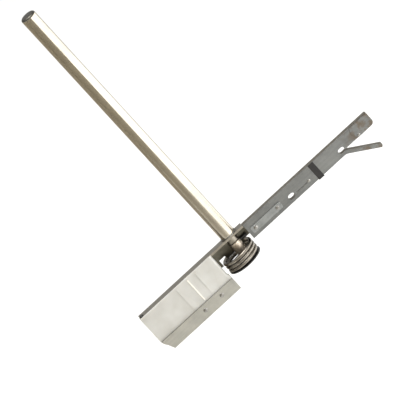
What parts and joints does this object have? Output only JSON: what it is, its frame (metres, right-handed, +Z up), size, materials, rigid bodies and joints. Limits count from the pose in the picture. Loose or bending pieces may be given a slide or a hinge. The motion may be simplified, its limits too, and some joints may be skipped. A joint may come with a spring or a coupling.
{
  "type": "ignition electrode lever",
  "caption": "Rod-mounted sprung lever with a slit, splayed fork at one end and a white insulator block with a lead socket in a sheet cradle at the other.",
  "frame": {"origin": "rod axis, at the shoulder where the rod meets its washer", "axes": "+Z up the rod to its free end, +X along the arm to the fork, -Y the open front of the cradle"},
  "size_m": [0.1082, 0.0138, 0.1262],
  "materials": {
    "rod_steel": "satin turned steel rod, straw tinted",
    "washer_steel": "plain steel, satin",
    "black_oxide": "black oxide on steel",
    "sleeve_bronze": "sintered bronze, pale",
    "spring_steel": "drawn spring wire",
    "bracket_steel": "pressed steel sheet, dull zinc",
    "insulator_white": "off-white, slightly translucent",
    "arm_steel": "flat steel strip, satin",
    "contact_brass": "turned brass",
    "clip_steel": "bright zinc plated sheet",
    "rivet_steel": "bright steel rivet",
    "band_black": "black moulded band"
  },
  "bodies": {
    "root": {"electrode_rod": "rod_steel", "shoulder_washer": "washer_steel", "stop_pin": "black_oxide", "mandrel_sleeve": "sleeve_bronze", "anchor_disc": "black_oxide", "retaining_ring": "black_oxide", "torsion_spring": "spring_steel"},
    "lever": {"cradle_bracket": "bracket_steel", "pivot_collar": "washer_steel", "insulator_block": "insulator_white", "conductor_pin": "arm_steel", "lead_socket": "contact_brass", "contact_button": "contact_brass", "lower_clip": "clip_steel", "clip_rivets": "rivet_steel", "corner_rivet": "black_oxide", "fork_arm": "arm_steel", "blank_plate": "clip_steel", "arm_rivets": "rivet_steel", "guide_rivet": "rivet_steel", "marker_band": "band_black", "tip_plate": "arm_steel", "tip_rivet": "rivet_steel"}
  },
  "joints": [
    {"name": "lever_swing", "type": "hinge", "parent": "root", "child": "lever", "pos_m": [0, 0, 0], "axis": [0, 0, 1], "range_deg": [0, 50], "stiffness_Nm_per_rad": 0.08, "springref_deg": -20.05, "deforming": ["torsion_spring"]}
  ]
}
